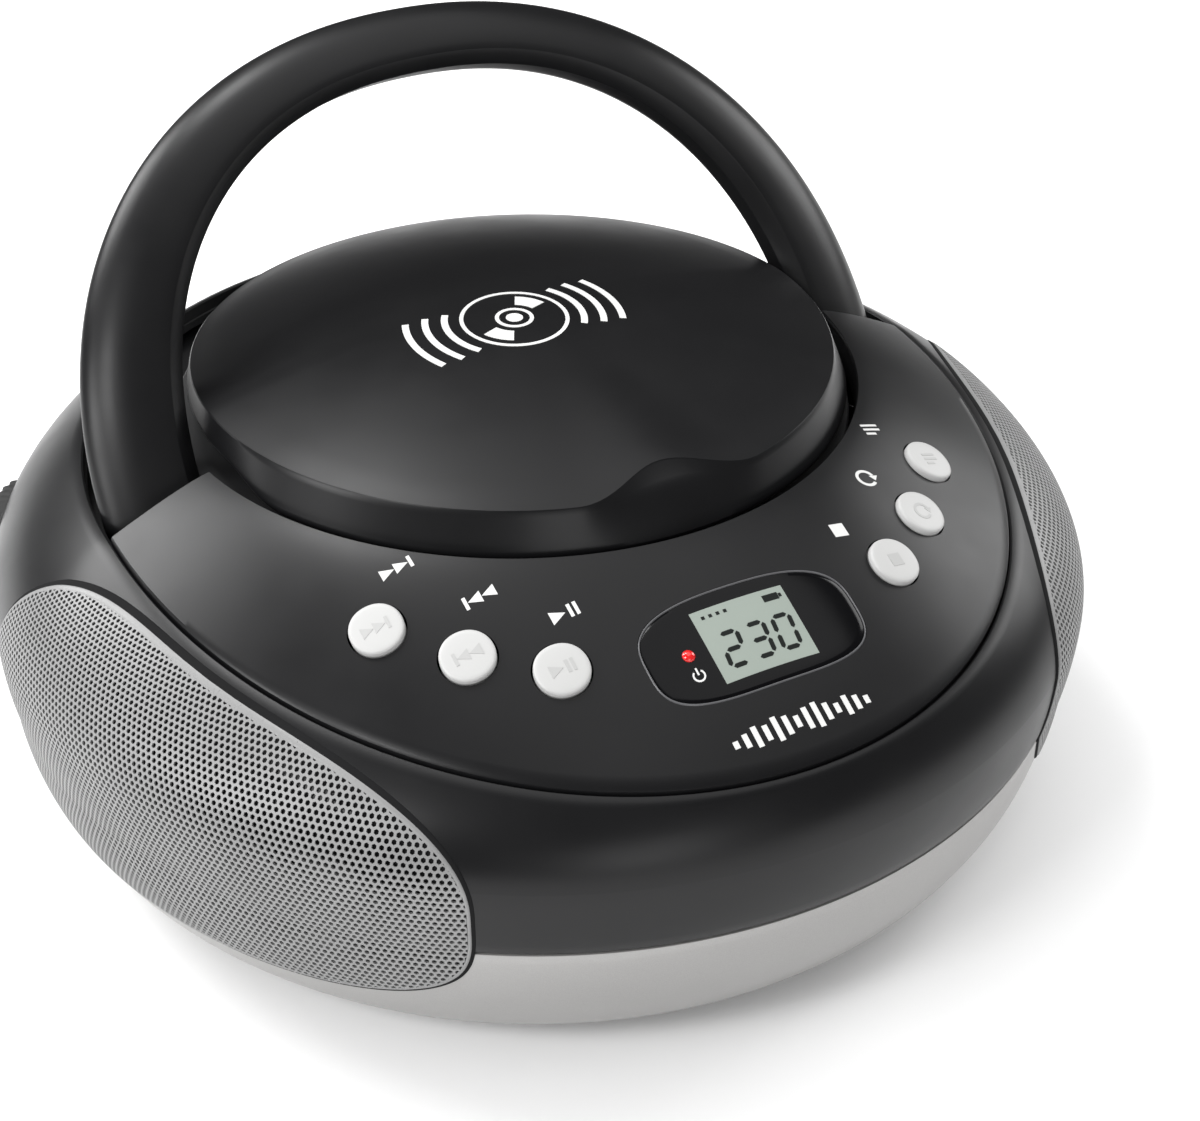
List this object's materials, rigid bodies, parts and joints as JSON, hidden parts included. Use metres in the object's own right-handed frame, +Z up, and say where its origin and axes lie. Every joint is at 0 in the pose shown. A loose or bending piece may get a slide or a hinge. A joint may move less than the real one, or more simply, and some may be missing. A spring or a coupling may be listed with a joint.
{
  "type": "boombox",
  "caption": "Round portable disc player and radio: domed lid, sloping key panel, corner speaker grilles, folding arched handle and telescopic antenna.",
  "frame": {"origin": "on the floor under the centre of the body", "axes": "+X to the right as seen from the front, -Y is the front with the display, +Z up"},
  "size_m": [0.2406, 0.2389, 0.1501],
  "materials": {
    "shell_black": "satin black",
    "shell_silver": "satin silver-grey",
    "grille_silver": "satin silver",
    "button_grey": "fine matt",
    "window_black": "polished",
    "lcd_glass": "polished",
    "lamp_red": "clear",
    "inner_plastic": "matt",
    "rubber_black": "matt",
    "steel": "plain",
    "antenna_chrome": "polished",
    "cone_paper": "matt",
    "circuit_board": "solder mask"
  },
  "bodies": {
    "body": {"lower_shell": "shell_silver", "upper_shell": "shell_black", "console_panel": "shell_black", "handle_channel": "shell_black", "disc_well": "inner_plastic", "display_window": "window_black", "lcd_module": "lcd_glass", "power_led": "lamp_red", "left_grille": "grille_silver", "right_grille": "grille_silver", "speaker_basket_left": "steel", "speaker_cone_left": "cone_paper", "speaker_magnet_left": "steel", "speaker_basket_right": "steel", "speaker_cone_right": "cone_paper", "speaker_magnet_right": "steel", "key_board_left": "circuit_board", "key_board_right": "circuit_board", "main_board": "circuit_board", "mains_transformer": "steel", "mains_inlet": "inner_plastic", "battery_tray": "inner_plastic", "foot_1": "rubber_black", "foot_2": "rubber_black", "foot_3": "rubber_black", "foot_4": "rubber_black", "case_screw_1": "steel", "case_screw_2": "steel", "case_screw_3": "steel", "case_screw_4": "steel", "drive_chassis": "inner_plastic", "spindle_motor": "steel", "feed_motor": "steel", "guide_rod": "steel", "handle_pin_left": "steel", "handle_pin_right": "steel", "lid_hinge_left": "shell_black", "lid_hinge_right": "shell_black"},
    "battery_flap": {"battery_door": "shell_silver"},
    "lid": {"lid_shell": "shell_black", "clamp_retainer": "inner_plastic"},
    "clamp": {"clamp_puck": "button_grey"},
    "handle": {"handle_cover": "shell_black", "handle_trough": "shell_black"},
    "play_key": {"button_play": "button_grey"},
    "back_key": {"button_back": "button_grey"},
    "next_key": {"button_next": "button_grey"},
    "stop_key": {"button_stop": "button_grey"},
    "repeat_key": {"button_repeat": "button_grey"},
    "program_key": {"button_program": "button_grey"},
    "volume": {"volume_wheel": "rubber_black"},
    "tuning": {"tuning_wheel": "rubber_black"},
    "selector": {"source_switch": "button_grey"},
    "table": {"turntable": "inner_plastic"},
    "pickup": {"pickup_sled": "inner_plastic"},
    "screw": {"lead_screw": "steel"},
    "antenna_base": {"antenna_knuckle": "inner_plastic"},
    "antenna_lower": {"antenna_outer": "antenna_chrome"},
    "antenna_mid": {"antenna_middle": "antenna_chrome"},
    "antenna_end": {"antenna_tip": "antenna_chrome"}
  },
  "joints": [
    {"name": "handle_hinge", "type": "hinge", "parent": "body", "child": "handle", "pos_m": [0, 0.0091, 0.0749], "axis": [-1, 0, 0], "range_deg": [-37.6, 43]},
    {"name": "lid_hinge", "type": "hinge", "parent": "body", "child": "lid", "pos_m": [0, 0.0775, 0.0846], "axis": [-1, 0, 0], "range_deg": [0, 11]},
    {"name": "clamp_spin", "type": "hinge", "parent": "lid", "child": "clamp", "pos_m": [0, 0.011, 0.082], "axis": [0, 0, 1], "continuous": true},
    {"name": "disc_spin", "type": "hinge", "parent": "body", "child": "table", "pos_m": [0, 0.011, 0.065], "axis": [0, 0, 1], "continuous": true},
    {"name": "pickup_slide", "type": "slide", "parent": "body", "child": "pickup", "axis": [0, 1, 0], "range_m": [-0.028, 0.004]},
    {"name": "screw_spin", "type": "hinge", "parent": "body", "child": "screw", "pos_m": [0.013, -0.053, 0.0676], "axis": [0, 1, 0], "continuous": true},
    {"name": "play_press", "type": "slide", "parent": "body", "child": "play_key", "axis": [0.1838, 0.4043, -0.896], "range_m": [0, 0.001], "stiffness_N_per_m": 300, "springref_m": -0.002},
    {"name": "back_press", "type": "slide", "parent": "body", "child": "back_key", "axis": [0.2548, 0.3691, -0.8938], "range_m": [0, 0.001], "stiffness_N_per_m": 300, "springref_m": -0.002},
    {"name": "next_press", "type": "slide", "parent": "body", "child": "next_key", "axis": [0.3166, 0.319, -0.8933], "range_m": [0, 0.001], "stiffness_N_per_m": 300, "springref_m": -0.002},
    {"name": "stop_press", "type": "slide", "parent": "body", "child": "stop_key", "axis": [-0.1838, 0.4043, -0.896], "range_m": [0, 0.001], "stiffness_N_per_m": 300, "springref_m": -0.002},
    {"name": "repeat_press", "type": "slide", "parent": "body", "child": "repeat_key", "axis": [-0.2548, 0.3691, -0.8938], "range_m": [0, 0.001], "stiffness_N_per_m": 300, "springref_m": -0.002},
    {"name": "program_press", "type": "slide", "parent": "body", "child": "program_key", "axis": [-0.3166, 0.319, -0.8933], "range_m": [0, 0.001], "stiffness_N_per_m": 300, "springref_m": -0.002},
    {"name": "volume_turn", "type": "hinge", "parent": "body", "child": "volume", "pos_m": [-0.0949, 0.0526, 0.048], "axis": [0, 0, 1], "range_deg": [-140, 140]},
    {"name": "tuning_turn", "type": "hinge", "parent": "body", "child": "tuning", "pos_m": [0.0949, 0.0526, 0.048], "axis": [0, 0, 1], "range_deg": [-140, 140]},
    {"name": "selector_slide", "type": "slide", "parent": "body", "child": "selector", "axis": [-0.2079, 0.9781, 0], "range_m": [-0.0045, 0.0045]},
    {"name": "battery_flap_hinge", "type": "hinge", "parent": "body", "child": "battery_flap", "pos_m": [0, 0.063, 0.003], "axis": [1, 0, 0], "range_deg": [0, 80]},
    {"name": "antenna_swivel", "type": "hinge", "parent": "body", "child": "antenna_base", "pos_m": [-0.03, 0.1142, 0.0568], "axis": [0, 0, 1], "range_deg": [0, 180]},
    {"name": "antenna_tilt", "type": "hinge", "parent": "antenna_base", "child": "antenna_lower", "pos_m": [-0.03, 0.1142, 0.0568], "axis": [0, -1, 0], "range_deg": [0, 90]},
    {"name": "antenna_slide_1", "type": "slide", "parent": "antenna_lower", "child": "antenna_mid", "axis": [1, 0, 0], "range_m": [0, 0.065]},
    {"name": "antenna_slide_2", "type": "slide", "parent": "antenna_mid", "child": "antenna_end", "axis": [1, 0, 0], "range_m": [0, 0.065]}
  ],
  "couplings": [
    {"joint": "screw_spin", "follows": "pickup_slide", "rad_per_m": 2094.4}
  ]
}
